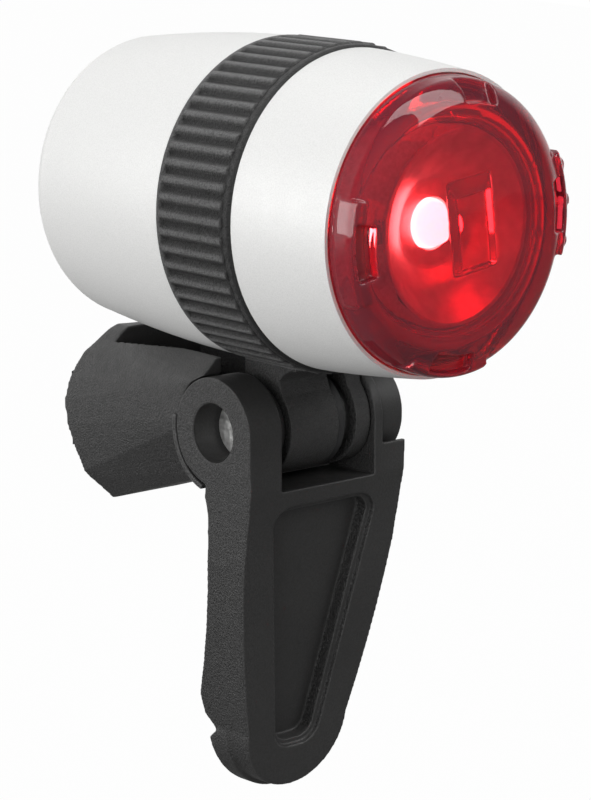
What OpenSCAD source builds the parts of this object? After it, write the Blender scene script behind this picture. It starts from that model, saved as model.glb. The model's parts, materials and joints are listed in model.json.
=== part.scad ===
// Battery rear light for a bicycle: a barrel head on a tilting neck, a saddle that sits
// against the seat post, and a clamp lever that turns on the same pin.
// The origin is on the post's axis, level with the hinge pin. +Z is up, the lens looks to -Y.

/* [Barrel] */
// Diameter of the mounting ring over its ribs
ring_d = 45.9; // [45.4:0.1:47.4]
// Width of the mounting ring along the barrel
ring_w = 14.8; // [14.7:0.1:16]
// How far the ring's rear edge lies behind the hinge pin
ring_back = 2.8; // [2.2:0.1:3.5]
// Height of the barrel's axis above the hinge pin
head_rise = 31.2; // [31:0.1:34]
// Angle by which the head looks down in the stored pose
head_tilt = 0.9; // [0:0.1:2]
// Length of the front sleeve from the ring to its rim
sleeve_len = 16.8; // [16:0.1:19]
// How much the sleeve's radius shrinks towards its rim
sleeve_taper = 1.4; // [1.2:0.1:1.7]
// How much the cup's radius shrinks towards its closed end
cup_taper = 2.5; // [2:0.1:2.8]
// Radius of the cup's rear corner
cup_corner = 3; // [2.5:0.1:4]
// Thickness of the cup's closed end
cup_end_t = 2.6; // [1.8:0.1:3]
// Step from the ribs down to the silver sleeve
shell_step = 0.75; // [0.5:0.05:0.9]
// Step from the ribs down to the silver cup
cup_step = 0.25; // [0.15:0.05:0.5]
// Wall of the ring under the ribs
ring_wall = 2.2; // [2:0.1:2.6]
// Wall of the spigots that enter the ring
spigot_wall = 2; // [1.8:0.1:2.1]
// Length of each spigot inside the ring
spigot_len = 7; // [6:0.1:7.3]

/* [Ring ribs] */
// Number of ribs round the ring
rib_n = 60; // [40:2:72]
// Height of the ribs above the ring
rib_h = 0.5; // [0.4:0.05:0.6]
// Radius of each rounded rib
rib_r = 0.8; // [0.6:0.05:0.9]
// Width of the plain lip at the rear edge
lip_back = 0.9; // [0.6:0.1:1.5]
// Width of the plain lip at the front edge
lip_front = 1.5; // [1.2:0.1:2.5]

/* [Lens] */
// How far the lens stands in front of the sleeve's rim
lens_proud = 6.2; // [5.8:0.1:8]
// Width of the silver rim round the lens
rim_w = 0.5; // [0.4:0.05:0.6]
// Radius of the front disc
disc_r = 14; // [13:0.1:14.5]
// Thickness of the front disc
lens_t = 2; // [1.6:0.1:2.4]
// Wall of the skirt inside the sleeve
skirt_wall = 1.7; // [1.5:0.1:1.9]
// Length of the skirt behind the rim
skirt_len = 6; // [5.6:0.1:6.2]
// Height of the gently domed front
dome_h = 0.5; // [0.3:0.1:0.8]
// How far the main grip lug stands out
lug_h = 0.5; // [0.3:0.1:0.8]
// Angle that a grip lug covers
lug_angle = 42; // [36:1:48]
// Width of the prism behind the disc
prism_w = 8.1; // [7:0.1:9]
// Height of the prism behind the disc
prism_h = 12.6; // [11:0.1:13]
// Depth of the prism
prism_d = 2.9; // [2:0.1:3]

/* [Cells and board] */
// Diameter of a cell
cell_d = 14.5; // [14:0.1:14.8]
// Length of a cell over its nub
cell_len = 50.5; // [49:0.1:52]
// Length of a contact spring when fitted
spring_len = 2.9; // [2.6:0.1:3.1]
// Wire of a contact spring
spring_wire = 0.6; // [0.5:0.05:0.7]
// Turns of a contact spring
spring_turns = 3; // [2:1:3]
// Thickness of the contact plates
plate_t = 0.5; // [0.3:0.05:0.8]
// Front wall of the battery tray
tray_wall = 1.2; // [1:0.1:2]
// Thickness of the circuit board
board_t = 1.2; // [1:0.1:1.6]
// How far the board's face lies behind the rim
board_setback = 2.8; // [2.6:0.1:3.4]

/* [Hinge] */
// Width of the bracket over both sides
bracket_w = 29.6; // [29.4:0.1:32]
// Diameter of the hinge pin
pin_d = 8.2; // [7:0.1:8.4]
// How deep the pin's end lies in the near ear
pin_recess = 4.4; // [3:0.1:4.8]
// Radius of the lever's ears
hub_r = 7.8; // [7.6:0.1:8]
// Radius of the knuckles
knuckle_r = 7.1; // [6.8:0.1:7.2]
// Radius of the saddle's far hub
far_hub_r = 7.3; // [7:0.1:7.6]
// Thickness of the lever's near ear
near_ear_t = 6; // [5.8:0.1:6.4]
// Thickness of the saddle's inner ear
inner_ear_t = 1.9; // [1.6:0.1:2]
// Width of the main knuckle
knuckle_w = 9.1; // [8.6:0.1:9.3]
// Thickness of the friction washer
washer_t = 1.1; // [0.8:0.1:1.2]
// Width of the gap for the spring washer
dish_gap = 2.1; // [1.6:0.1:2.3]
// Width of the second knuckle
prong_w = 2.8; // [2.4:0.1:3]
// Thickness of the lever's far post
far_post_t = 1.6; // [1.4:0.1:1.8]

/* [Lever] */
// Length of the lever's plate below the pin
lever_len = 53.9; // [50:0.1:60]
// Depth of the lever below its ears
lever_t = 8.6; // [8.2:0.1:9]
// Angle at which the plate leans back
lean = 10; // [8:0.5:11]
// Angle at which the back of the plate leans
back_lean = 13; // [12:0.5:14]
// How far the plate's back edge is hollowed
back_hollow = 1.5; // [1:0.1:1.8]
// How far the plate's sides bulge over a straight taper
side_bulge = 0.5; // [0.2:0.1:0.8]
// Half width of the plate's round lower end
end_r = 9.5; // [9:0.1:10]
// Radius of the hook's lip round the lower end
lip_r = 9.6; // [9.3:0.1:10]
// Depth of the front pocket
pocket_depth = 2.8; // [1.5:0.1:3.5]
// Width of the frame round the pocket at the top
pocket_margin = 6; // [5:0.1:7]
// Width of the step round the pocket
pocket_step = 0.8; // [0.4:0.1:1.2]
// Height of the shoulder cut below the far hub
shoulder_drop = 3.7; // [3:0.1:4.5]

/* [Saddle] */
// Diameter of the seat post
post_d = 22.2; // [21:0.1:22.4]
// Distance from the post's axis to the hinge pin
post_to_pin = 44.3; // [44.2:0.1:46]
// Thickness of the rubber pad
pad_t = 1.5; // [1.2:0.1:1.8]
// Length of the rubber pad along the post
pad_len = 11; // [10:0.1:11.5]
// Angle of the post that the pad covers
pad_angle = 110; // [109:0.5:112]
// Half width of the saddle where it meets the post
foot_half_w = 10.8; // [10.7:0.1:11]
// Width of the rim round the seat of the near ear
seat_rim = 0.8; // [0.7:0.1:1]
// Wall of the saddle's sides and floor
foot_wall = 2.4; // [2:0.1:2.8]

/* [Hidden] */
$fn = 96;
slip = 0.08;
run_gap = 0.06;
side_gap = 0.2;
turn_gap = 0.3;
eps = 0.01;

// Radii of the barrel
ring_r = ring_d / 2;
ring_base_r = ring_r - rib_h;
bore_r = ring_base_r - ring_wall;
shell_r = ring_r - shell_step;
cup_r = ring_r - cup_step;
spigot_r = bore_r - slip;
tube_r = spigot_r - spigot_wall;
rim_r = shell_r - sleeve_taper;
lens_r = rim_r - rim_w - side_gap;
skirt_r = tube_r - turn_gap;
skirt_ir = skirt_r - skirt_wall;

// Stations along the barrel, forward of the pin
ring_z0 = -ring_back;
ring_z1 = ring_w - ring_back;
rim_z = ring_z1 + sleeve_len;
front_z = rim_z + lens_proud;
board_z = rim_z - board_setback;
tray_front_z = board_z - board_t;
front_plate_z = tray_front_z - tray_wall - plate_t;
rear_plate_z = front_plate_z - cell_len - spring_len - slip;
cup_inner_z = rear_plate_z - plate_t;
cup_z = cup_inner_z - cup_end_t;
cup_len = ring_z0 - cup_z;
skirt_z = rim_z - skirt_len;
tray_shoulder_z = skirt_z - 1.1;

// The lens recess, its shoulder and its seal
recess_depth = 1.2;
shoulder_z = rim_z + 2.2;
cavity_z = rim_z + 1;
disc_z = front_z - lens_t;
seal_r = 0.55;
lens_seal_z = rim_z - 3.4;
cup_seal_z = ring_z0 + 3.6;
seal_room = 0.1;
lug_at = [5, -96, -175];
lug_rise = [1, 0, 0];
notch_at = 83;
prism_turn = 8;
prism_at = [1.1, 0.5];

// Cells
cell_x = cell_d / 2 + 0.25;
cell_bore_r = cell_d / 2 + 0.2;
nub_r = 2.7;
nub_h = 1.2;
tray_r = tube_r - 0.15;
tray_neck_r = skirt_ir - turn_gap;
board_r = tray_neck_r - 0.2;
screw_orbit = board_r - 2;
screw_r = 0.8;
screw_head_r = 1.4;
screw_head_t = 0.7;
screw_deep = 1;
screw_angles = [90, 210, 330];

// Hinge stack along the pin, from the near side to the far side
half_w = bracket_w / 2;
pin_r = pin_d / 2;
near_ear_x = -half_w + near_ear_t;
inner_ear_x = near_ear_x + side_gap;
knuckle_x = inner_ear_x + inner_ear_t + side_gap;
washer_x = knuckle_x + knuckle_w;
dish_x = washer_x + washer_t;
prong_x = dish_x + dish_gap;
neck_end_x = prong_x + prong_w;
far_post_x = neck_end_x + side_gap;
far_post_end = far_post_x + far_post_t;
far_hub_x = far_post_end + side_gap;
pin_start_x = -half_w + pin_recess;
pin_end_x = half_w - 0.5;
neck_front = 3.8;
neck_waist = 8.3;
neck_top = head_rise - bore_r + 3.5;
neck_fillet = 4;

// Post and saddle
post_r = post_d / 2;
foot_r = post_r + pad_t;
foot_front = 3;
foot_back = post_to_pin - sqrt(foot_r * foot_r - foot_half_w * foot_half_w) + 2.7;
foot_wall_y = post_to_pin - foot_r - foot_wall;
seat_r = hub_r + turn_gap;
pad_z = -2.5;

// Lever
lean_z = hub_r;
plate_run = lever_len - lean_z;
hook_z = 14.1 - lever_len;
hook_y = lever_t - hub_r - tan(back_lean) * (hook_z + lean_z);

// Steps along a line from a to b, pushed sideways by a bow of the given height
function bowed(a, b, bow, n = 5) =
    [for (i = [0 : n]) let (t = i / n)
        [a[0] + (b[0] - a[0]) * t + 4 * bow * t * (1 - t), a[1] + (b[1] - a[1]) * t]];

function arc(c, r, a0, a1, n = 8) =
    [for (i = [0 : n]) let (a = a0 + (a1 - a0) * i / n) [c[0] + r * cos(a), c[1] + r * sin(a)]];

function mirrored(pts) =
    concat(pts, [for (i = [len(pts) - 1 : -1 : 0]) [-pts[i][0], pts[i][1]]]);

// Places a child at the hinge pin
module at_pin() {
    translate([0, -post_to_pin, 0]) children();
}

// Places a child of the head at the hinge pin, in the head's stored tilt
module at_head() {
    at_pin() rotate([head_tilt, 0, 0]) children();
}

// Places a child on the barrel's axis: its own Z runs forward and its Y is up
module on_barrel(z = 0) {
    at_head() translate([0, 0, head_rise]) rotate([90, 0, 0]) translate([0, 0, z]) children();
}

// A cylinder along the pin
module pin_rod(x0, x1, r) {
    translate([x0, 0, 0]) rotate([0, 90, 0]) cylinder(r = r, h = x1 - x0);
}

// Extrudes an outline drawn in Y and Z along the pin
module across(x0, x1) {
    translate([x0, 0, 0]) rotate([90, 0, 90]) linear_extrude(x1 - x0) children();
}

// Extrudes an outline drawn in X and Z towards +Y
module along_y(y0, y1) {
    translate([0, y1, 0]) rotate([90, 0, 0]) linear_extrude(y1 - y0) children();
}

// A solid band round the barrel with rounded edges
module rounded_band(r, w, corner) {
    rotate_extrude()
        polygon(concat([[0, 0]], arc([r - corner, corner], corner, -90, 0),
                       arc([r - corner, w - corner], corner, 0, 90), [[0, w]]));
}

// A ring of round section
module seal_ring(r) {
    rotate_extrude() translate([r, 0]) circle(r = seal_r, $fn = 24);
}

// Radius of the cup at a distance behind the ring
function cup_radius(s) = cup_r - cup_taper * pow(s / cup_len, 1.8);

// Radius of the sleeve at a distance in front of the ring
function sleeve_radius(s) = shell_r - sleeve_taper * pow(s / sleeve_len, 1.4);

function cup_side(gap) =
    [for (i = [0 : 10]) let (s = (cup_len - cup_corner) * i / 10) [cup_radius(s) + gap, ring_z0 - s]];

function cup_round(gap) =
    let (r0 = cup_radius(cup_len - cup_corner) - cup_corner)
        arc([r0, cup_z + cup_corner], cup_corner + gap, 0, -90, 10);

function seal_groove(r, z, way) =
    let (floor_r = r - 2 * seal_r - slip, half = seal_r + slip)
        [[r, z - way * half], [floor_r, z - way * half], [floor_r, z + way * half], [r, z + way * half]];

module rear_cup() {
    spigot_z = ring_z0 + spigot_len;
    color("gainsboro") on_barrel() rotate_extrude()
        polygon(concat(cup_side(0), cup_round(0), [[0, cup_z], [0, cup_inner_z], [tube_r, cup_inner_z],
                [tube_r, spigot_z], [spigot_r, spigot_z]],
                seal_groove(spigot_r, cup_seal_z, -1), [[spigot_r, ring_z0]]));
}

module cup_seal() {
    color("dimgray") on_barrel(cup_seal_z) seal_ring(spigot_r - seal_r);
}

module neck_outline() {
    circle(r = knuckle_r);
    polygon([[-knuckle_r, 0], [-neck_front, neck_waist], [-neck_front, neck_top],
             [ring_back, neck_top], [ring_back, knuckle_r], [knuckle_r, 0]]);
    translate([-neck_front - neck_fillet, head_rise - ring_base_r - neck_fillet]) difference() {
        square([neck_fillet + eps, neck_fillet + 4]);
        circle(r = neck_fillet);
    }
}

// Outline of the ribs: round crests with round valleys between them
module ribbed_disc() {
    valley_r = rib_r - 0.1;
    difference() {
        union() {
            circle(r = ring_r - rib_h * 0.55);
            for (i = [0 : rib_n - 1])
                rotate(360 * i / rib_n) translate([ring_r - rib_r, 0]) circle(r = rib_r, $fn = 24);
        }
        for (i = [0 : rib_n - 1])
            rotate(360 * (i + 0.5) / rib_n) translate([ring_base_r + valley_r, 0]) circle(r = valley_r, $fn = 24);
    }
}

// The round mark that a mould's ejector leaves on the knuckle's front
module ejector_mark() {
    difference() {
        translate([knuckle_x + knuckle_w / 2, -pin_r, -1.1]) rotate([90, 0, 0]) difference() {
            cylinder(r = 1.8, h = knuckle_r, $fn = 48);
            translate([0, 0, -1]) cylinder(r = 1.62, h = knuckle_r + 2, $fn = 48);
        }
        pin_rod(knuckle_x, washer_x, knuckle_r - 0.12);
    }
}

module mount_ring() {
    color("#39393b") difference() {
        union() {
            on_barrel(ring_z0) rounded_band(ring_r - 0.1, lip_back, 0.3);
            on_barrel(ring_z0 + lip_back) linear_extrude(ring_w - lip_back - lip_front) ribbed_disc();
            on_barrel(ring_z1 - lip_front) rounded_band(ring_r - 0.3, lip_front, 0.6);
            at_head() across(knuckle_x, neck_end_x) neck_outline();
        }
        on_barrel(ring_z0 - 1) cylinder(r = bore_r, h = ring_w + 2);
        at_pin() pin_rod(knuckle_x - 1, neck_end_x + 1, pin_r + run_gap);
        at_pin() ejector_mark();
        at_head() translate([washer_x, -neck_fillet - hub_r, -hub_r])
            cube([washer_t + dish_gap, 2 * hub_r + neck_fillet, hub_r + neck_waist]);
    }
}

module front_sleeve() {
    spigot_z = ring_z1 - spigot_len;
    outer = [for (i = [0 : 10]) let (s = sleeve_len * i / 10) [sleeve_radius(s), ring_z1 + s]];
    color("gainsboro") on_barrel() rotate_extrude()
        polygon(concat(outer, [[rim_r - rim_w, rim_z], [rim_r - rim_w, rim_z - recess_depth],
                [tube_r, rim_z - recess_depth], [tube_r, spigot_z], [spigot_r, spigot_z],
                [spigot_r, ring_z1]]));
}

// Outer line of the lens from its flange to the disc
function lens_outer() =
    concat([[lens_r, rim_z - recess_depth + turn_gap], [lens_r, rim_z + 0.4]],
           [for (i = [0 : 10]) let (a = 9 * i)
               [disc_r + 0.6 + (lens_r - 0.3 - disc_r - 0.6) * cos(a),
                shoulder_z + (front_z - dome_h - shoulder_z) * sin(a)]]);

// The domed front from the disc's edge to the axis
function lens_dome() =
    concat([for (i = [5 : -1 : 1]) let (t = i / 6)
               [(disc_r + 0.6) * t, front_z - dome_h * (t * t - 1 / 36)]], [[0, front_z]]);

// Inner line of the lens from the disc back to the skirt
function lens_inner() =
    [for (i = [10 : -1 : 0]) let (a = 9 * i)
        [disc_r - 1.4 + (skirt_ir - disc_r + 1.4) * cos(a), cavity_z + (disc_z - cavity_z) * sin(a)]];

module lens_body() {
    rotate_extrude()
        polygon(concat([[skirt_r, rim_z - recess_depth + turn_gap]], lens_outer(), lens_dome(),
                [[0, disc_z]], lens_inner(), [[skirt_ir, skirt_z], [skirt_r, skirt_z]],
                seal_groove(skirt_r, lens_seal_z, 1)));
}

// A sector of a revolved block, centred on +X
module sector(angle, pts) {
    rotate([0, 0, -angle / 2]) rotate_extrude(angle = angle) polygon(pts);
}

// A grip lug, with three rounded ribs where it stands out
module lens_lug(h) {
    foot = lens_r - 2.6;
    top = lens_r + h;
    sector(lug_angle, [[foot, rim_z + 0.6], [top - 0.2, rim_z + 0.6], [top, rim_z + 1], [top, rim_z + 3.4],
                       [top - 0.2, rim_z + 4], [top - 0.7, rim_z + 4.5], [foot, rim_z + 4.9]]);
    if (h > 0) for (a = [-0.36, 0.02, 0.36])
        rotate([0, 0, a * lug_angle]) translate([top - 0.9, 0, rim_z + 1])
            cylinder(r = 0.9 + h * 0.8, h = 3, $fn = 24);
}

module lug_pocket() {
    sector(lug_angle * 0.55, [[lens_r - 3.3, rim_z + 3.8], [lens_r - 1, rim_z + 3.2], [lens_r - 0.4, front_z],
                              [lens_r - 3.3, front_z + 1]]);
}

// The index notch near the top of the lens: a pocket with a slanted floor
module index_notch() {
    sector(lug_angle * 0.45, [[lens_r - 3.4, rim_z + 4.2], [lens_r + 1, rim_z + 1.5], [lens_r + 1, front_z],
                              [lens_r - 3.4, front_z]]);
}

// The prism: a block whose top and near side slope in towards the emitter
module lens_prism() {
    w = prism_w / 2;
    h = prism_h / 2;
    rotate([0, 0, prism_turn]) translate([prism_at[0], prism_at[1], disc_z]) intersection() {
        translate([-w - 1, 0, 0]) rotate([90, 0, 90]) linear_extrude(2 * w + 2)
            polygon([[-h, 0.5], [-h, -prism_d], [h - prism_d, -prism_d], [h + 0.5, 0.5]]);
        translate([0, h + 1, 0]) rotate([90, 0, 0]) linear_extrude(2 * h + 2)
            polygon([[-w - 0.5, 0.5], [prism_d - w, -prism_d], [w, -prism_d], [w, 0.5]]);
    }
}

module lens() {
    color("red") on_barrel() union() {
        difference() {
            union() {
                lens_body();
                for (a = [0 : len(lug_at) - 1]) rotate([0, 0, lug_at[a]]) lens_lug(lug_h * lug_rise[a]);
            }
            for (a = lug_at) rotate([0, 0, a]) lug_pocket();
            rotate([0, 0, notch_at]) index_notch();
        }
        lens_prism();
    }
}

module lens_seal() {
    color("dimgray") on_barrel(lens_seal_z) seal_ring(skirt_r - seal_r + seal_room);
}

module battery_tray() {
    color("#2e2e30") on_barrel() difference() {
        union() {
            translate([0, 0, rear_plate_z + slip])
                cylinder(r = tray_r, h = tray_shoulder_z - rear_plate_z - slip);
            translate([0, 0, tray_shoulder_z - eps])
                cylinder(r = tray_neck_r, h = tray_front_z - tray_shoulder_z + eps);
        }
        for (x = [-cell_x, cell_x])
            translate([x, 0, rear_plate_z - 1])
                cylinder(r = cell_bore_r, h = front_plate_z + plate_t - rear_plate_z + 1);
        translate([-tray_r, 3, rear_plate_z + 4])
            cube([2 * tray_r, tray_r, tray_shoulder_z - rear_plate_z - 8]);
        for (a = screw_angles) rotate([0, 0, a])
            translate([screw_orbit, 0, tray_front_z - screw_deep])
                cylinder(r = screw_r + slip, h = screw_deep + 1, $fn = 24);
    }
}

// A cell with its nub at the +Z end, from its flat end
module cell() {
    cylinder(r = cell_d / 2, h = cell_len - nub_h);
    translate([0, 0, cell_len - nub_h - eps]) cylinder(r = nub_r, h = nub_h + eps);
}

module battery_cells() {
    color("steelblue") on_barrel() {
        translate([-cell_x, 0, rear_plate_z + spring_len + slip / 2]) cell();
        translate([cell_x, 0, front_plate_z - spring_len - slip / 2]) rotate([180, 0, 0]) cell();
    }
}

// A coil of round wire: rings of six points along a helix that narrows to its top
module coil_spring(r0, r1, h, turns, wire) {
    sides = 6;
    steps = turns * 16;
    function spot(i) = let (t = i / steps, r = r0 + (r1 - r0) * t)
        [r, 360 * turns * t, wire / 2 + (h - wire) * t];
    points = [for (i = [0 : steps]) let (s = spot(i)) for (k = [0 : sides - 1])
        let (a = 360 * k / sides, r = s[0] + wire / 2 * cos(a))
            [r * cos(s[1]), r * sin(s[1]), s[2] + wire / 2 * sin(a)]];
    walls = [for (i = [0 : steps - 1]) for (k = [0 : sides - 1]) let (n = (k + 1) % sides)
        for (f = [[i * sides + k, i * sides + n, (i + 1) * sides + n],
                  [i * sides + k, (i + 1) * sides + n, (i + 1) * sides + k]]) f];
    caps = [for (k = [1 : sides - 2]) for (f = [[0, k + 1, k],
        [steps * sides, steps * sides + k, steps * sides + k + 1]]) f];
    polyhedron(points, concat(walls, caps));
}

module cell_springs() {
    color("silver") on_barrel() {
        translate([-cell_x, 0, rear_plate_z]) coil_spring(5, 2.6, spring_len, spring_turns, spring_wire);
        translate([cell_x, 0, front_plate_z]) rotate([180, 0, 0])
            coil_spring(5, 2.6, spring_len, spring_turns, spring_wire);
    }
}

module rear_bridge() {
    r = cell_d / 2 - 1;
    color("silver") on_barrel(cup_inner_z) {
        for (x = [-cell_x, cell_x]) translate([x, 0, 0]) cylinder(r = r, h = plate_t);
        translate([-cell_x, -r / 2, 0]) cube([2 * cell_x, r, plate_t]);
    }
}

module front_contacts() {
    color("silver") on_barrel(front_plate_z)
        for (x = [-cell_x, cell_x]) translate([x, 0, 0]) cylinder(r = cell_d / 2 - 1, h = plate_t);
}

module led_board() {
    color("whitesmoke") on_barrel(tray_front_z) difference() {
        cylinder(r = board_r, h = board_t);
        for (a = screw_angles) rotate([0, 0, a])
            translate([screw_orbit, 0, -1]) cylinder(r = screw_r + slip, h = board_t + 2, $fn = 24);
    }
}

module board_screws() {
    color("silver") on_barrel(board_z)
        for (a = screw_angles) rotate([0, 0, a]) translate([screw_orbit, 0, 0]) {
            translate([0, 0, -board_t - screw_deep])
                cylinder(r = screw_r, h = board_t + screw_deep + eps, $fn = 24);
            cylinder(r = screw_head_r, h = screw_head_t, $fn = 24);
        }
}

// Emitter: a round base with a low clear dome
led_r = 3.3;
led_t = 0.6;
dome_r = 3;
module led() {
    color("gold") on_barrel(board_z) {
        rotate_extrude() polygon(concat([[0, 0], [led_r, 0], [led_r, led_t]], arc([0, led_t], dome_r, 0, 80),
                                        [[0, led_t + dome_r * sin(80)]]));
    }
}

// Bowl standing on the board: a floor round the emitter, a bend and a straight wall up to the rim
bowl_r0 = 3.5;
bowl_floor_r = 5.6;
bowl_t = 0.7;
bowl_h = 4.2;
module reflector() {
    r1 = disc_r - 0.7;
    bend = bowl_floor_r + 0.9;
    color("silver") on_barrel(board_z) rotate_extrude()
        polygon([[bowl_r0, 0], [bend, 0], [r1, bowl_h], [r1, bowl_h + bowl_t], [r1 - 0.6, bowl_h + bowl_t],
                 [bowl_floor_r + 0.7, bowl_t + 0.35], [bowl_floor_r + 0.3, bowl_t + 0.17],
                 [bowl_floor_r - 0.2, bowl_t + 0.06], [bowl_r0, bowl_t]]);
}

// A small moulded block on the board's face
module board_block(x, y, size) {
    on_barrel(board_z) translate([x - size[0] / 2, y - size[1] / 2, 0]) cube(size);
}

module driver_chip() {
    color("#222222") board_block(-10.4, 0, [3, 3.4, 0.9]);
}

module motion_sensor() {
    color("#444444") board_block(10.6, 0, [2.6, 4, 1]);
}

module light_sensor() {
    color("ivory") board_block(5.6, -10.2, [2, 1.6, 0.9]);
}

module power_inductor() {
    color("#333333") on_barrel(board_z) translate([-6.2, -9.6, 0]) cylinder(r = 1.7, h = 1.3, $fn = 32);
}

// Contact track on the tray's shoulder and the wiper that turns with the lens
track_t = 0.4;
wiper_t = 0.4;
module switch_track() {
    color("goldenrod") on_barrel(tray_shoulder_z) rotate([0, 0, 60])
        rotate_extrude(angle = 120) translate([skirt_ir + 0.2, 0]) square([skirt_wall - 0.4, track_t]);
}

module switch_wiper() {
    color("goldenrod") on_barrel(skirt_z - wiper_t) rotate([0, 0, 80])
        rotate_extrude(angle = 20) translate([skirt_ir + 0.2, 0]) square([skirt_wall - 0.4, wiper_t]);
}

module friction_washer() {
    color("#2a2a2c") at_pin() difference() {
        pin_rod(washer_x, dish_x, knuckle_r - 0.1);
        pin_rod(washer_x - 1, dish_x + 1, pin_r + run_gap);
    }
}

module spring_washer() {
    r0 = pin_r + run_gap;
    r1 = knuckle_r - 1.4;
    t = 0.8;
    color("silver") at_pin() translate([dish_x, 0, 0]) rotate([0, 90, 0]) rotate_extrude()
        polygon([[r0, 0], [r0 + 0.4, 0], [r1, dish_gap - t], [r1, dish_gap], [r1 - 0.4, dish_gap], [r0, t]]);
}

module hinge_pin() {
    color("slategray") at_pin() rotate([0, 90, 0]) translate([0, 0, pin_start_x]) rotate_extrude()
        polygon([[0, 0], [pin_r - 0.4, 0], [pin_r, 0.4], [pin_r, pin_end_x - pin_start_x - 0.4],
                 [pin_r - 0.4, pin_end_x - pin_start_x], [0, pin_end_x - pin_start_x]]);
}

// Side outline of the lever in Y and Z, down to the notch of its hook
module lever_side() {
    low_y = -hub_r + tan(lean) * plate_run;
    circle(r = hub_r);
    top = [lever_t - hub_r + tan(back_lean) * 4.4 - 0.3, -lean_z - 4.4];
    polygon(concat([[-hub_r, 0], [-hub_r, -lean_z], [low_y, -lever_len], [low_y + 4.4, -lever_len],
                    [hook_y - 2.4, hook_z - 5.4], [hook_y - 0.3, hook_z - 3.1]],
                   bowed([hook_y - 0.2, hook_z], top, -back_hollow),
                   [[hub_r * 0.26, -hub_r * 1.2], [hub_r * 0.23, -hub_r * 0.95], [0, 0]]));
}

// Side outline of the hook's lip
module lip_side() {
    polygon([[hook_y - 4.8, hook_z - 5.4], [hook_y - 4.8, -lever_len - 2], [hook_y - 2, -lever_len - 2],
             [hook_y - 1.1, hook_z - 8.2], [hook_y - 0.9, hook_z - 6.6], [hook_y - 2.4, hook_z - 5.4]]);
}

// Front outline of the lever in X and Z: straight shoulders, a taper and a round end
module lever_front() {
    end_z = end_r - lever_len;
    polygon(mirrored(concat([[half_w, hub_r + 1], [half_w, -shoulder_drop - 1.5]],
                            bowed([half_w - 0.5, -shoulder_drop - 15], [end_r, end_z], side_bulge))));
    translate([0, end_z]) circle(r = end_r);
}

// A tapered pocket outline with round corners, grown outwards by a margin
module pocket_outline(grow) {
    top = half_w - pocket_margin + grow;
    low = end_r - 6 + grow;
    corner = 2.4 + grow;
    z_top = -3.6 + grow;
    z_low = -plate_run / cos(lean) + 7 - grow;
    polygon(mirrored(concat(arc([top - corner, z_top - corner], corner, 90, 8),
                            arc([low - corner, z_low + corner], corner, -10, -90))));
}

// Cuts the two-step pocket into the leaning front face
module lever_pocket() {
    translate([0, -hub_r, -lean_z]) rotate([lean, 0, 0]) {
        along_y(-1, pocket_depth) pocket_outline(0);
        along_y(-1, pocket_step) pocket_outline(pocket_step);
    }
}

module lever() {
    lip_z = lip_r - lever_len - 0.7;
    color("#353537") at_pin() difference() {
        union() {
            intersection() {
                across(-half_w, half_w) lever_side();
                along_y(-2 * hub_r, 3 * hub_r) lever_front();
            }
            intersection() {
                across(-lip_r, lip_r) lip_side();
                along_y(-hub_r, 3 * hub_r) translate([0, lip_z]) circle(r = lip_r);
            }
        }
        translate([near_ear_x, -2 * hub_r, -hub_r - side_gap])
            cube([far_post_x - near_ear_x, 4 * hub_r, 3 * hub_r]);
        translate([far_post_end, -2 * hub_r, -shoulder_drop]) cube([half_w, 4 * hub_r, 3 * hub_r]);
        pin_rod(far_post_end, half_w + 1, hub_r + 0.2);
        pin_rod(-half_w - 1, far_post_end + 1, pin_r + run_gap);
        translate([-half_w, 0, 0]) rotate([0, 90, 0]) rotate([0, 0, -30]) rotate_extrude(angle = 85)
            translate([hub_r - 0.55, -eps]) square([0.25, 0.4]);
        lever_pocket();
    }
}

// Half outlines of the flared saddle in X and Z, at the hinge and at the post
foot_front_pts = [[half_w - 3.3, 9.8], [half_w, 6.8], [half_w, 1.7], [half_w - 4.2, -3.6],
                  [half_w - 4.8, -6.8]];
foot_back_pts = [for (p = [[-7.4, 10.3], [-5.8, 9.4], [-2.5, 6], [-1.5, 4], [-0.6, 1.5], [-0.05, -1.8],
                           [-0.3, -5.5], [-1.1, -9.5], [-2.3, -14], [-5.8, -18.4]])
                     [foot_half_w + p[0], p[1]]];

// The saddle's flared body before its hollows are cut
module foot_body() {
    hull() {
        along_y(foot_front, foot_front + eps) polygon(mirrored(foot_front_pts));
        along_y(foot_back, foot_back + eps) polygon(mirrored(foot_back_pts));
    }
}

// The hollow in the top of the saddle, open upwards and towards the hinge
module foot_hollow() {
    w0 = half_w - foot_wall - 1;
    w1 = foot_half_w - foot_wall - 0.2;
    top = head_rise;
    hull() {
        along_y(-hub_r, -hub_r + eps) polygon(mirrored([[w0, top], [w0, 1.5], [w0 - 2.6, -3.2]]));
        along_y(foot_wall_y - eps, foot_wall_y) polygon(mirrored([[w1, top], [w1, -6.8], [w1 - 2.6, -10.6]]));
    }
}

// Room for the cup above the saddle
module cup_room() {
    gap = 0.8;
    rotate_extrude() polygon(concat([[0, ring_z0 + ring_w]], [[cup_r + gap, ring_z0 + ring_w]],
                                    cup_side(gap), cup_round(gap), [[0, cup_z - gap]]));
}

// The saddle's inner ear beside the main knuckle, on a web from the floor
module inner_ear() {
    across(inner_ear_x, inner_ear_x + inner_ear_t) {
        circle(r = knuckle_r - 1);
        polygon([[0, knuckle_r - 1], [hub_r + 2, 4], [hub_r + 8, -8], [hub_r + 6, -10], [hub_r, -8],
                 [0, 1 - knuckle_r]]);
    }
}

// The trough that the ears and knuckles turn in, from the hollow down and under the hinge
module ear_seat() {
    translate([-half_w, 0, 0]) rotate([0, 90, 0]) rotate([0, 0, 18]) rotate_extrude(angle = 82)
        translate([hub_r - 1, 0]) square([seat_r + seat_rim - hub_r + 1, far_hub_x + half_w + 1]);
}

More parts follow.
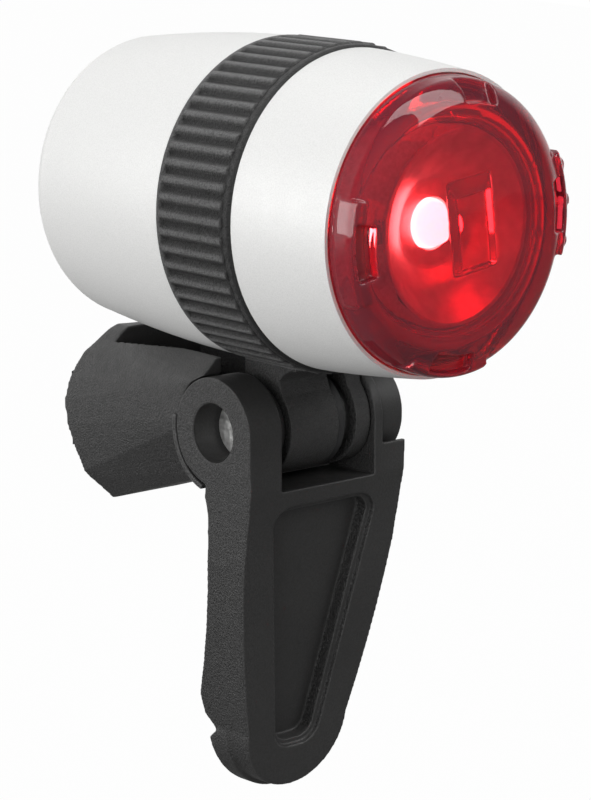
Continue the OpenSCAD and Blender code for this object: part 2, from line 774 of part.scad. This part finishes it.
// The round hub on the saddle's far side and its web
module far_hub() {
    across(far_hub_x, half_w) {
        circle(r = far_hub_r);
        polygon([[0, far_hub_r], [hub_r + 4, 6.5], [hub_r + 4, -1], [0, -far_hub_r]]);
    }
}

module saddle() {
    color("#333335") difference() {
        at_pin() union() {
            difference() {
                union() {
                    difference() {
                        foot_body();
                        foot_hollow();
                    }
                    ear_seat();
                }
                pin_rod(-half_w - 1, half_w + 1, seat_r);
            }
            inner_ear();
            far_hub();
        }
        at_pin() pin_rod(inner_ear_x - 1, half_w + 1, pin_r + slip / 2);
        cylinder(r = foot_r, h = 6 * hub_r, center = true);
        on_barrel() cup_room();
    }
}

module saddle_pad() {
    color("#1d1d1e") translate([0, 0, pad_z - pad_len / 2]) rotate([0, 0, -90 - pad_angle / 2])
        rotate_extrude(angle = pad_angle) translate([post_r, 0]) square([pad_t, pad_len]);
}

rear_cup();
mount_ring();
front_sleeve();
lens();
led();
lever();
saddle();
hinge_pin();
friction_washer();
spring_washer();
saddle_pad();
cup_seal();
lens_seal();
battery_tray();
battery_cells();
cell_springs();
rear_bridge();
front_contacts();
led_board();
reflector();
driver_chip();
motion_sensor();
light_sensor();
power_inductor();
board_screws();
switch_track();
switch_wiper();
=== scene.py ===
import json
import math
import bpy
import numpy as np
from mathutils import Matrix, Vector


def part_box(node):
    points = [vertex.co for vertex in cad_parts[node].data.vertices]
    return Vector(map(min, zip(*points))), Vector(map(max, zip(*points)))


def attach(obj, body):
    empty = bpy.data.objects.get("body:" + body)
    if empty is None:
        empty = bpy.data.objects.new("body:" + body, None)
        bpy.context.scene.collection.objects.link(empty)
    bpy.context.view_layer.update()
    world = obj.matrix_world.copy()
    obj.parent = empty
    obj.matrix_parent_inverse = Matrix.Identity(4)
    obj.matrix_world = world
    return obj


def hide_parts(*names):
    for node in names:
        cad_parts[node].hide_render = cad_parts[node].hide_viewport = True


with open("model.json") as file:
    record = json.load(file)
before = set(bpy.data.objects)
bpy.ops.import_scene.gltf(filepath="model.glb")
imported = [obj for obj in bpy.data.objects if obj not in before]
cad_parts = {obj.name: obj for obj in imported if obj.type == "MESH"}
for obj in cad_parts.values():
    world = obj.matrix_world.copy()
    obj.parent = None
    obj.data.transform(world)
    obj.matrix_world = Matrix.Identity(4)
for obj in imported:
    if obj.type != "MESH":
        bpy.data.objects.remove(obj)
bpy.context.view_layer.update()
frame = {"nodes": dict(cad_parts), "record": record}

nodes = frame["nodes"]
scene = bpy.context.scene
scene.view_settings.view_transform = "Standard"

WHITE = (1.0, 1.0, 1.0, 1.0)

# Noise textures seldom leave this range.
NOISE_LOW, NOISE_HIGH = 0.3, 0.7

# Moulded black plastic: how far edges and hollows are rounded, as a share of a voxel, and how
# strongly the painted highlight on the edges and the painted shade in the hollows show.
MOULD_DARK = (0.010, 0.0098, 0.0098)
ROUNDING_LOW, ROUNDING_HIGH = 0.1, 0.8
EDGE_HIGHLIGHT_SHARE, HOLLOW_SHADE_SHARE = 0.7, 0.4

# Ribs of the ring: depths under its outer radius, in metres, that bound the painted shade in the
# valleys and the painted highlight on the crests.
VALLEY_FROM, VALLEY_TO = 0.00028, 0.00042
CREST_FROM, CREST_TO = 0.00022, 0.00003
NECK_FROM, NECK_TO = 0.00004, 0.00012

# Emission of the lit emitter on the object, and as seen by the camera or through the lens.
EMITTER_THROWN, EMITTER_SEEN = 17.0, 44.0

# Node, body, slot, voxel size in metres, smoothing passes, share of the faces kept.
MOULDINGS = (
    ("lever", "lever", "black_bracket", 0.00017, 9, 0.4),
    ("saddle", "clamp_base", "black_bracket", 0.00015, 16, 0.35),
    ("mount_ring", "head", "black_grip", 0.00014, 4, 0.5),
    ("lens", "lens_cap", "red_lens", 0.00020, 8, 1.0),
)

# The camera as worked out from the ellipses of the ring, rim and hinge hole, in metres and degrees.
CAMERA_PLACE = (-0.29382, -0.36966, 0.08931)
CAMERA_AZIMUTH, CAMERA_ELEVATION = -42.15, 11.17
CAMERA_LENS, SENSOR_HEIGHT, CLIP_START = 142.37, 36.0, 0.01

# Name, direction from the object, distance, width and height in metres, radiance.
LAMPS = (
    ("top", (0.236, -0.350, 0.906), 0.80, 0.42, 1.50, 3.8),
    ("side", (-0.985, 0.05, 0.16), 0.90, 1.70, 0.44, 3.9),
)
LAMPS_LOOK_AT = Vector((0.0, -0.045, 0.010))

# The white sweep behind the object: its turn, where it fades in and where it ends above.
SWEEP_TURN = math.radians(-20)
SWEEP_FADE_FROM, SWEEP_FADE_TO = 0.0, 0.35
SWEEP_TOP_FROM, SWEEP_TOP_TO = 0.50, 0.85
# Light of the room before the object and behind it.
ROOM_FRONT, ROOM_BACK = 0.32, 0.07
ROOM_FADE_FROM, ROOM_FADE_TO = -0.7, 0.0

# Floor, in metres, with the way it fades to white and its own grey.
FLOOR_LEFT, FLOOR_RIGHT, FLOOR_FRONT, FLOOR_BACK, FLOOR_LEVEL = -1.2, 1.2, -0.5, 3.0, -0.12
FLOOR_FADE_FROM, FLOOR_FADE_TO, FLOOR_WHITE = 0.15, 0.45, 0.985
FLOOR_GREY = (0.20, 0.20, 0.20, 1.0)


def shade(color, factor):
    return tuple(min(1.0, factor * part) for part in color)


def span(tree, source, low, high, to_low, to_high):
    """Maps the range low to high onto to_low to to_high, clamped."""
    node = tree.nodes.new("ShaderNodeMapRange")
    keys = ("From Min", "From Max", "To Min", "To Max")
    for key, value in zip(keys, (low, high, to_low, to_high)):
        node.inputs[key].default_value = value
    tree.links.new(source, node.inputs["Value"])
    return node.outputs["Result"]


def reckon(tree, operation, a, b=None):
    node = tree.nodes.new("ShaderNodeMath")
    node.operation = operation
    for socket, value in zip(node.inputs, (a, b)):
        if isinstance(value, (int, float)):
            socket.default_value = value
        elif value is not None:
            tree.links.new(value, socket)
    return node.outputs["Value"]


class Finish:
    """A Principled material with its textures laid in object space, in metres."""

    def __init__(self, name, color, roughness, metallic=0.0):
        self.mat = bpy.data.materials.new(name)
        self.mat.use_nodes = True
        self.tree = self.mat.node_tree
        self.bsdf = self.tree.nodes["Principled BSDF"]
        self.set("Base Color", (*color, 1.0))
        self.set("Roughness", roughness)
        self.set("Metallic", metallic)
        self.coord = self.add("ShaderNodeTexCoord")

    def add(self, kind, **values):
        node = self.tree.nodes.new(kind)
        for key, value in values.items():
            setattr(node, key, value)
        return node

    def set(self, socket, value):
        self.bsdf.inputs[socket].default_value = value

    def link(self, source, target):
        self.tree.links.new(source, target)

    def noise(self, scale, detail=2.0, rough=0.5):
        tex = self.add("ShaderNodeTexNoise")
        tex.inputs["Scale"].default_value = scale
        tex.inputs["Detail"].default_value = detail
        tex.inputs["Roughness"].default_value = rough
        self.link(self.coord.outputs["Object"], tex.inputs["Vector"])
        return tex.outputs["Fac"]

    def ramp(self, source, dark, light, low=NOISE_LOW, high=NOISE_HIGH):
        ramp = self.add("ShaderNodeValToRGB")
        first, last = ramp.color_ramp.elements
        first.position, first.color = low, (*dark, 1.0)
        last.position, last.color = high, (*light, 1.0)
        self.link(source, ramp.inputs["Fac"])
        return ramp.outputs["Color"]

    def span(self, source, low, high, to_low, to_high):
        return span(self.tree, source, low, high, to_low, to_high)

    def math(self, operation, a, b=None):
        return reckon(self.tree, operation, a, b)

    def mix(self, factor, a, b):
        node = self.add("ShaderNodeMix", data_type="RGBA")
        sockets = (node.inputs["Factor"], node.inputs[6], node.inputs[7])
        for socket, value in zip(sockets, (factor, a, b)):
            if isinstance(value, (int, float)):
                socket.default_value = value
            elif isinstance(value, tuple):
                socket.default_value = (*value, 1.0)
            else:
                self.link(value, socket)
        return node.outputs[2]

    def vector(self, operation, a, b=None):
        node = self.add("ShaderNodeVectorMath", operation=operation)
        for socket, value in zip(node.inputs, (a, b)):
            if isinstance(value, tuple):
                socket.default_value = value
            elif value is not None:
                self.link(value, socket)
        return node.outputs["Value" if operation == "LENGTH" else "Vector"]

    def bump(self, height, strength, distance):
        node = self.add("ShaderNodeBump")
        if isinstance(strength, (int, float)):
            node.inputs["Strength"].default_value = strength
        else:
            self.link(strength, node.inputs["Strength"])
        node.inputs["Distance"].default_value = distance
        self.link(height, node.inputs["Height"])
        self.link(node.outputs["Normal"], self.bsdf.inputs["Normal"])

    def color(self, source):
        self.link(source, self.bsdf.inputs["Base Color"])

    def roughness(self, source, smooth, rough, low=NOISE_LOW, high=NOISE_HIGH):
        self.link(self.span(source, low, high, smooth, rough), self.bsdf.inputs["Roughness"])

    def side_weight(self):
        """1 on faces that look along the pin, 0 on the fronts and backs."""
        split = self.add("ShaderNodeSeparateXYZ")
        self.link(self.coord.outputs["Normal"], split.inputs["Vector"])
        return self.span(self.math("ABSOLUTE", split.outputs["X"]), 0.55, 0.9, 0.0, 1.0)

    def from_axis(self, point, axis):
        """Distance from a line, in metres."""
        away = self.vector("SUBTRACT", self.coord.outputs["Object"], point)
        return self.vector("LENGTH", self.vector("CROSS_PRODUCT", away, axis))

    def edge_weight(self, low, high):
        """1 on rounded outer edges or in hollows, from the value rounded() leaves on a moulding; it
        masks the painted edge highlight and the painted hollow shade.
        """
        rounding_depth = self.add("ShaderNodeAttribute", attribute_name="rounding_depth")
        return self.span(rounding_depth.outputs["Fac"], low, high, 0.0, 1.0)


def rib_shade_and_highlight(f, body, grain, highlight_color, point, axis, radius):
    """Darkens the valleys of the ring as painted shade and lightens its crests as a painted
    highlight, but not the neck outside them.
    """
    out = f.from_axis(point, axis)
    valley_shade = f.span(out, radius - VALLEY_FROM, radius - VALLEY_TO, 0.0, 0.85)
    body = f.mix(valley_shade, body, shade(MOULD_DARK, 0.5))
    on_ring = f.span(out, radius + NECK_FROM, radius + NECK_TO, 1.0, 0.0)
    crest_highlight = f.span(out, radius - CREST_FROM, radius - CREST_TO, 0.0, 0.9)
    speckled = f.span(grain, 0.3, 0.6, 0.35, 1.0)
    weight = f.math("MULTIPLY", f.math("MULTIPLY", crest_highlight, on_ring), speckled)
    return f.mix(weight, body, highlight_color)


def moulded_plastic(name, light, plain_grain, highlight_color, ribs=None):
    """Black plastic from a spark-eroded mould: speckle, coarser on side faces, fronts and backs
    painted lighter, a painted highlight on rounded edges and painted shade in hollows.
    """
    f = Finish(name, light, roughness=0.55)
    f.set("Specular IOR Level", 0.5)
    grain = f.noise(scale=3400, detail=3.0, rough=0.62)
    side = f.side_weight()
    speckle = f.ramp(grain, MOULD_DARK, light, low=0.36, high=0.64)
    # Painted light: fronts and backs get a lighter tone than the sides, with a finer speckle.
    painted_front_tone = tuple(0.95 * (a + b) for a, b in zip(MOULD_DARK, light))
    body = f.mix(side, f.mix(0.62, speckle, painted_front_tone), speckle)
    cloud = f.span(f.noise(scale=95), NOISE_LOW, NOISE_HIGH, 0.0, 0.16)
    body = f.mix(cloud, body, shade(MOULD_DARK, 0.7))
    if ribs:
        body = rib_shade_and_highlight(f, body, grain, highlight_color, *ribs)
    # Painted shade in the hollows, and a painted highlight along the rounded outer edges.
    hollow_shade = f.math("MULTIPLY", f.edge_weight(-ROUNDING_LOW, -ROUNDING_HIGH), HOLLOW_SHADE_SHARE)
    body = f.mix(hollow_shade, body, shade(MOULD_DARK, 0.35))
    edge_highlight = f.math("MULTIPLY", f.edge_weight(ROUNDING_LOW, ROUNDING_HIGH), EDGE_HIGHLIGHT_SHARE)
    f.color(f.mix(edge_highlight, body, highlight_color))
    f.roughness(f.noise(scale=700), smooth=0.40, rough=0.52)
    f.bump(grain, strength=f.math("ADD", side, plain_grain), distance=0.00024)
    return f.mat


def satin_silver(name):
    """Silver lacquer over a moulded shell: a fine metallic grain with a soft sheen."""
    f = Finish(name, (0.80, 0.80, 0.79), roughness=0.42, metallic=0.12)
    f.set("Specular IOR Level", 0.3)
    grain = f.noise(scale=5200, rough=0.7)
    flake = f.span(f.noise(scale=11000, detail=1.0), 0.45, 0.75, 0.0, 0.25)
    tone = f.ramp(grain, (0.74, 0.74, 0.73), (0.85, 0.85, 0.84))
    f.color(f.mix(flake, tone, (0.93, 0.93, 0.92)))
    f.roughness(f.noise(scale=420), smooth=0.46, rough=0.55)
    f.bump(grain, strength=0.32, distance=0.00006)
    return f.mat


def clear_red(name):
    """Thick clear red moulding: colour comes from depth, with faint moulding ripples."""
    f = Finish(name, (0.97, 0.14, 0.22), roughness=0.02)
    f.set("IOR", 1.5)
    f.set("Transmission Weight", 0.87)
    volume = f.add("ShaderNodeVolumeAbsorption")
    volume.inputs["Color"].default_value = (0.97, 0.04, 0.12, 1.0)
    volume.inputs["Density"].default_value = 700.0
    f.link(volume.outputs["Volume"], f.tree.nodes["Material Output"].inputs["Volume"])
    f.roughness(f.noise(scale=900), smooth=0.012, rough=0.05, low=0.35, high=0.75)
    f.bump(f.noise(scale=160), strength=0.03, distance=0.0002)
    return f.mat


def lit_emitter(name):
    """The lit die: white to the camera and through the lens, milder in the light it throws."""
    f = Finish(name, (1.0, 0.85, 0.6), roughness=0.2)
    glow = f.ramp(f.noise(scale=900), (0.78, 0.97, 0.58), (0.82, 1.0, 0.68))
    f.link(glow, f.bsdf.inputs["Emission Color"])
    path = f.add("ShaderNodeLightPath").outputs
    seen = f.math("MAXIMUM", path["Is Camera Ray"], path["Is Transmission Ray"])
    strength = f.span(seen, 0.0, 1.0, EMITTER_THROWN, EMITTER_SEEN)
    f.link(strength, f.bsdf.inputs["Emission Strength"])
    return f.mat


def metal(name, color, roughness, scale=2600, depth=0.00003, spread=0.12, strength=0.3):
    """Bare or plated metal with its own fine tooling or cast grain."""
    f = Finish(name, color, roughness, metallic=1.0)
    grain = f.noise(scale, detail=3.0, rough=0.6)
    f.color(f.ramp(grain, shade(color, 0.8), shade(color, 1.12)))
    f.roughness(grain, smooth=max(0.02, roughness - spread), rough=roughness + spread)
    f.bump(grain, strength, depth)
    return f.mat


def soft_rubber(name, color):
    f = Finish(name, color, roughness=0.75)
    f.set("Specular IOR Level", 0.3)
    grain = f.noise(scale=2200, detail=3.0, rough=0.6)
    f.color(f.ramp(grain, shade(color, 0.75), shade(color, 1.3)))
    f.roughness(f.noise(scale=600), smooth=0.68, rough=0.85)
    f.bump(grain, strength=0.2, distance=0.00006)
    return f.mat


def plain_moulding(name, color, roughness, spread=0.08):
    """Small inner mouldings, chips and sleeves: an even colour with mould haze."""
    f = Finish(name, color, roughness)
    haze = f.noise(scale=1500, detail=3.0, rough=0.6)
    f.color(f.ramp(haze, shade(color, 0.82), shade(color, 1.15)))
    f.roughness(f.noise(scale=500), smooth=roughness - spread, rough=roughness + spread)
    f.bump(haze, strength=0.12, distance=0.00003)
    return f.mat


joints = frame["record"]["behaviour"]["joints"]
barrel = next(joint for joint in joints if joint["name"] == "lens_twist")
ring_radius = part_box("mount_ring")[1][0]
ring_ribs = (tuple(barrel["pos_m"]), tuple(barrel["axis"]), ring_radius)

bracket_black = moulded_plastic("bracket_black", light=(0.044, 0.0435, 0.043), plain_grain=0.14,
                                highlight_color=(0.14, 0.14, 0.14))
grip_black = moulded_plastic("grip_black", light=(0.060, 0.0595, 0.059), plain_grain=1.0,
                             highlight_color=(0.16, 0.16, 0.16), ribs=ring_ribs)
silver = satin_silver("satin_silver")
red = clear_red("clear_red")
emitter = lit_emitter("lit_emitter")
steel = metal("turned_steel", (0.66, 0.66, 0.65), 0.45, scale=1800, strength=0.6)
spring_steel = metal("spring_steel", (0.16, 0.16, 0.16), 0.45, scale=1800, strength=0.5)
plate = metal("nickel_plate", (0.66, 0.65, 0.62), 0.25)
gilt = metal("gilt", (0.78, 0.56, 0.22), 0.28)
mirror = metal("mirror_coat", (0.88, 0.88, 0.88), 0.36,
               scale=420, depth=0.0002, spread=0.06, strength=0.15)
rubber = soft_rubber("soft_rubber", (0.022, 0.022, 0.023))
washer_black = plain_moulding("washer_black", (0.030, 0.030, 0.031), 0.5)
inner_black = plain_moulding("inner_black", (0.028, 0.028, 0.028), 0.55)
chip_black = plain_moulding("chip_black", (0.026, 0.026, 0.027), 0.6)
sleeve_blue = plain_moulding("sleeve_blue", (0.10, 0.18, 0.28), 0.35)
board_white = plain_moulding("board_white", (0.72, 0.72, 0.70), 0.4)
sensor_pale = plain_moulding("sensor_pale", (0.66, 0.64, 0.56), 0.25)

finish_of = {
    "rear_cup": silver, "front_sleeve": silver, "mount_ring": grip_black, "lens": red,
    "led": emitter, "lever": bracket_black, "saddle": bracket_black, "hinge_pin": steel,
    "friction_washer": washer_black, "spring_washer": spring_steel, "saddle_pad": rubber,
    "cup_seal": rubber, "lens_seal": rubber, "battery_tray": inner_black,
    "battery_cells": sleeve_blue, "cell_springs": plate, "rear_bridge": plate,
    "front_contacts": plate, "led_board": board_white, "reflector": mirror,
    "driver_chip": chip_black, "motion_sensor": chip_black, "light_sensor": sensor_pale,
    "power_inductor": chip_black, "board_screws": steel, "switch_track": gilt,
    "switch_wiper": gilt,
}
for name, node in nodes.items():
    node.data.materials.clear()
    node.data.materials.append(finish_of[name])


def applied(piece, kind, **values):
    """Runs one modifier on a piece and keeps its result as the piece's mesh."""
    modifier = piece.modifiers.new("step", kind)
    for key, value in values.items():
        setattr(modifier, key, value)
    graph = bpy.context.evaluated_depsgraph_get()
    mesh = bpy.data.meshes.new_from_object(
        piece.evaluated_get(graph), preserve_all_data_layers=True, depsgraph=graph)
    piece.modifiers.clear()
    piece.data = mesh
    return mesh


def vectors(source, count):
    """The three numbers of each vertex or normal, one row for each."""
    values = np.empty(count * 3, dtype=np.float32)
    source.foreach_get("vector", values)
    return values.reshape(-1, 3)


def positions(mesh):
    return vectors(mesh.attributes["position"].data, len(mesh.vertices))


def rounded(node, body, slot, voxel, passes, keep):
    """A copy of a moulding with the soft edges of the real mould, standing for the CAD node."""
    piece = bpy.data.objects.new(node + "_moulding", nodes[node].data.copy())
    scene.collection.objects.link(piece)
    sharp = positions(applied(piece, "REMESH", mode="VOXEL", voxel_size=voxel))
    mesh = applied(piece, "SMOOTH", factor=0.5, iterations=passes)
    normal = vectors(mesh.vertex_normals, len(mesh.vertices))
    # How far smoothing sank each point, in voxels: positive on outer edges, negative in hollows; it
    # masks the painted edge highlight and the painted hollow shade.
    sunk = np.einsum("ij,ij->i", sharp - positions(mesh), normal) / voxel
    rounding_depth = mesh.attributes.new("rounding_depth", "FLOAT", "POINT")
    rounding_depth.data.foreach_set("value", np.clip(sunk, -1.0, 1.0).astype(np.float32))
    if keep < 1.0:
        mesh = applied(piece, "DECIMATE", ratio=keep)
    mesh.materials.clear()
    mesh.materials.append(finish_of[node])
    mesh.shade_smooth()
    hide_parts(node)
    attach(piece, body)


for moulding in MOULDINGS:
    rounded(*moulding)

camera = bpy.data.objects.new("camera", bpy.data.cameras.new("camera"))
scene.collection.objects.link(camera)
azimuth, elevation = math.radians(CAMERA_AZIMUTH), math.radians(CAMERA_ELEVATION)
back = Vector((math.sin(azimuth) * math.cos(elevation),
               -math.cos(azimuth) * math.cos(elevation),
               math.sin(elevation)))
camera.location = CAMERA_PLACE
camera.rotation_euler = back.to_track_quat("Z", "Y").to_euler()
camera.data.sensor_fit = "VERTICAL"
camera.data.sensor_height = SENSOR_HEIGHT
camera.data.lens = CAMERA_LENS
camera.data.clip_start = CLIP_START
scene.camera = camera


def softbox(name, direction, distance, width, height, radiance):
    """A soft lamp that looks at the object, with its power reckoned from size and radiance."""
    lamp = bpy.data.lights.new(name, "AREA")
    lamp.shape = "RECTANGLE"
    lamp.size, lamp.size_y = width, height
    lamp.energy = radiance * math.pi * width * height
    holder = bpy.data.objects.new(name, lamp)
    scene.collection.objects.link(holder)
    way = Vector(direction).normalized()
    holder.location = LAMPS_LOOK_AT + way * distance
    holder.rotation_euler = way.to_track_quat("Z", "Y").to_euler()


for lamp_values in LAMPS:
    softbox(*lamp_values)


def seen_directly(tree, reach):
    """1 for camera rays, reach for those by way of metal or glass, 0 for light on the object."""
    path = tree.nodes.new("ShaderNodeLightPath").outputs
    by_way = reckon(tree, "MAXIMUM", path["Is Transmission Ray"], path["Is Glossy Ray"])
    reached = reckon(tree, "MULTIPLY", by_way, reach)
    return reckon(tree, "MAXIMUM", path["Is Camera Ray"], reached)


def mixed_surface(tree, weight, plain, bright, output_kind):
    """Mixes two shaders by weight into the tree's output."""
    either = tree.nodes.new("ShaderNodeMixShader")
    out = tree.nodes.new(output_kind)
    tree.links.new(weight, either.inputs["Fac"])
    tree.links.new(plain.outputs[0], either.inputs[1])
    tree.links.new(bright.outputs[0], either.inputs[2])
    tree.links.new(either.outputs["Shader"], out.inputs["Surface"])


world = bpy.data.worlds.new("studio")
scene.world = world
world.use_nodes = True
tree = world.node_tree
tree.nodes.clear()
# The white sweep hangs behind the object, and the room before it is dim in mirrors and glass.
facing = tree.nodes.new("ShaderNodeVectorMath")
facing.operation = "DOT_PRODUCT"
facing.inputs[1].default_value = (-math.sin(SWEEP_TURN), math.cos(SWEEP_TURN), 0.0)
way = tree.nodes.new("ShaderNodeTexCoord").outputs["Generated"]
height = tree.nodes.new("ShaderNodeSeparateXYZ")
tree.links.new(way, facing.inputs[0])
tree.links.new(way, height.inputs["Vector"])
behind = span(tree, facing.outputs["Value"], SWEEP_FADE_FROM, SWEEP_FADE_TO, 0.0, 1.0)
below_top = span(tree, height.outputs["Z"], SWEEP_TOP_FROM, SWEEP_TOP_TO, 1.0, 0.0)
sweep = reckon(tree, "MULTIPLY", behind, below_top)
backdrop = tree.nodes.new("ShaderNodeBackground")
backdrop.inputs["Color"].default_value = WHITE
backdrop.inputs["Strength"].default_value = 1.0
ambient = tree.nodes.new("ShaderNodeBackground")
ambient.inputs["Color"].default_value = WHITE
room = span(tree, facing.outputs["Value"], ROOM_FADE_FROM, ROOM_FADE_TO, ROOM_FRONT, ROOM_BACK)
tree.links.new(room, ambient.inputs["Strength"])
mixed_surface(tree, seen_directly(tree, sweep), ambient, backdrop, "ShaderNodeOutputWorld")

floor_mesh = bpy.data.meshes.new("floor")
floor_corners = [(FLOOR_LEFT, FLOOR_FRONT, 0), (FLOOR_RIGHT, FLOOR_FRONT, 0),
                 (FLOOR_RIGHT, FLOOR_BACK, 0), (FLOOR_LEFT, FLOOR_BACK, 0)]
floor_mesh.from_pydata(floor_corners, [], [(0, 1, 2, 3)])
floor = bpy.data.objects.new("floor", floor_mesh)
floor.location.z = FLOOR_LEVEL
floor.rotation_euler.z = SWEEP_TURN
scene.collection.objects.link(floor)
paper = bpy.data.materials.new("pale_paper")
paper.use_nodes = True
tree = paper.node_tree
tree.nodes.clear()
place = tree.nodes.new("ShaderNodeSeparateXYZ")
tree.links.new(tree.nodes.new("ShaderNodeTexCoord").outputs["Object"], place.inputs["Vector"])
far = span(tree, place.outputs["Y"], FLOOR_FADE_FROM, FLOOR_FADE_TO, 0.0, 1.0)
weight = reckon(tree, "MULTIPLY", seen_directly(tree, far), FLOOR_WHITE)
matte = tree.nodes.new("ShaderNodeBsdfDiffuse")
matte.inputs["Color"].default_value = FLOOR_GREY
white = tree.nodes.new("ShaderNodeEmission")
white.inputs["Strength"].default_value = 1.0
mixed_surface(tree, weight, matte, white, "ShaderNodeOutputMaterial")
floor_mesh.materials.append(paper)
